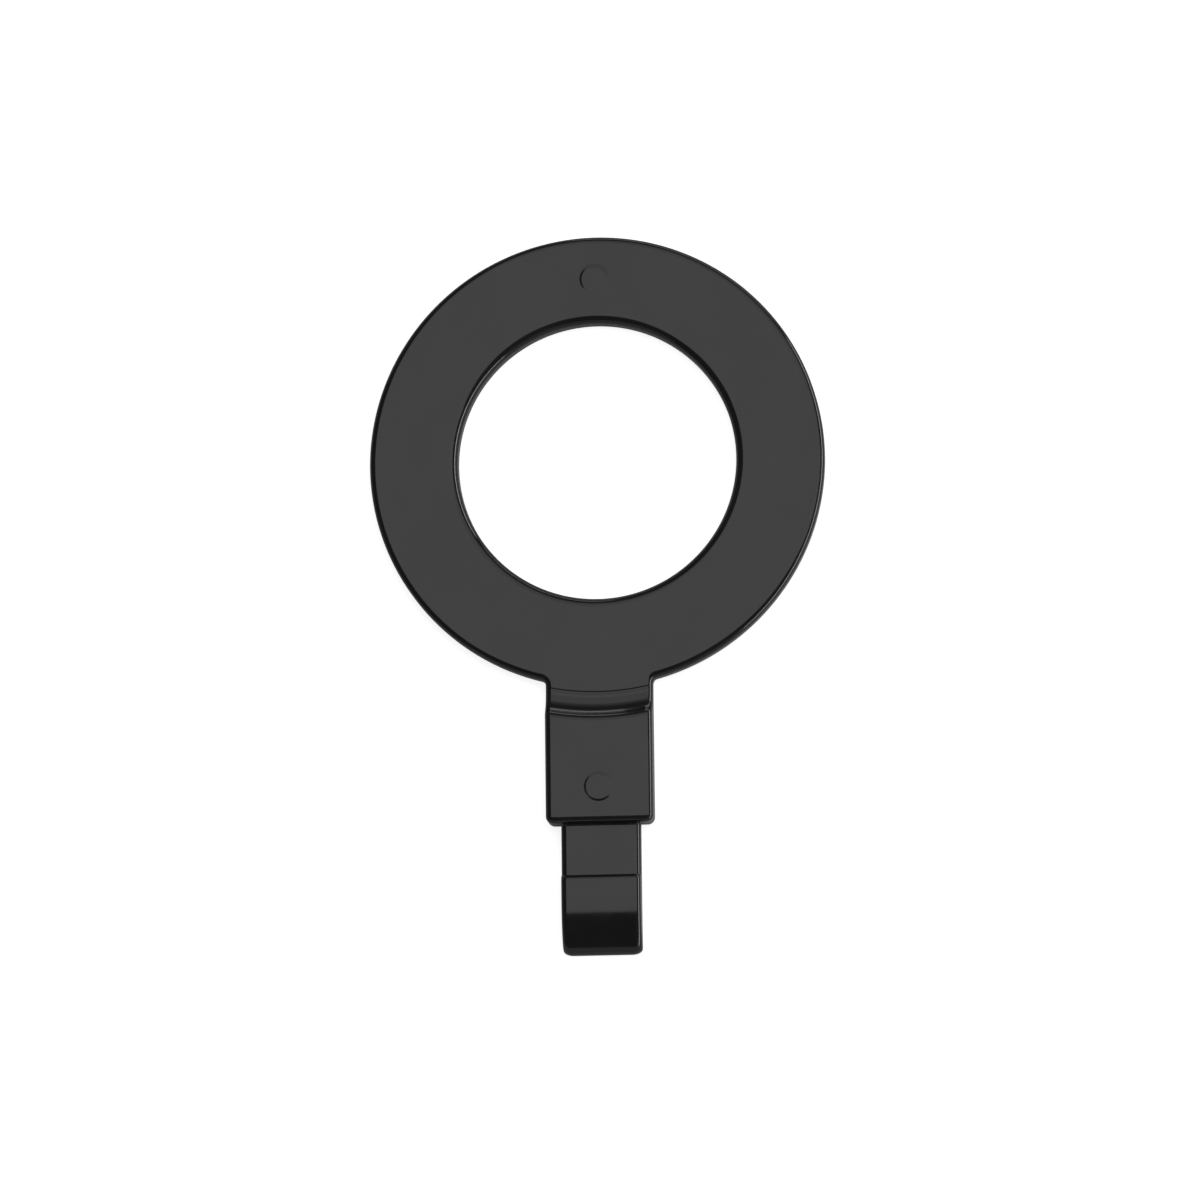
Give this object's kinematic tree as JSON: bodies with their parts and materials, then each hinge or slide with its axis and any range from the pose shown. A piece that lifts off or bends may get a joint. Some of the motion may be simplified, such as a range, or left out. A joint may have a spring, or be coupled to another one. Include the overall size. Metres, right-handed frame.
{
  "type": "razor holder ring",
  "caption": "Flat plastic ring that holds a razor or brush by its handle, on a short stem with a stop block and a hooked tongue that clips into a slot.",
  "frame": {"origin": "centre of the bore, in the plane of the flat back", "axes": "+Z along the bore out of the front face, the stem runs along -Y, X goes across the stem"},
  "size_m": [0.05, 0.0793, 0.0037],
  "materials": {
    "black_plastic": "semi-gloss injection moulded, solid black"
  },
  "bodies": {
    "root": {"holding_ring": "black_plastic", "root_web": "black_plastic", "stop_block": "black_plastic", "neck_tongue": "black_plastic", "catch_plate": "black_plastic", "hook_claw": "black_plastic"}
  },
  "joints": []
}
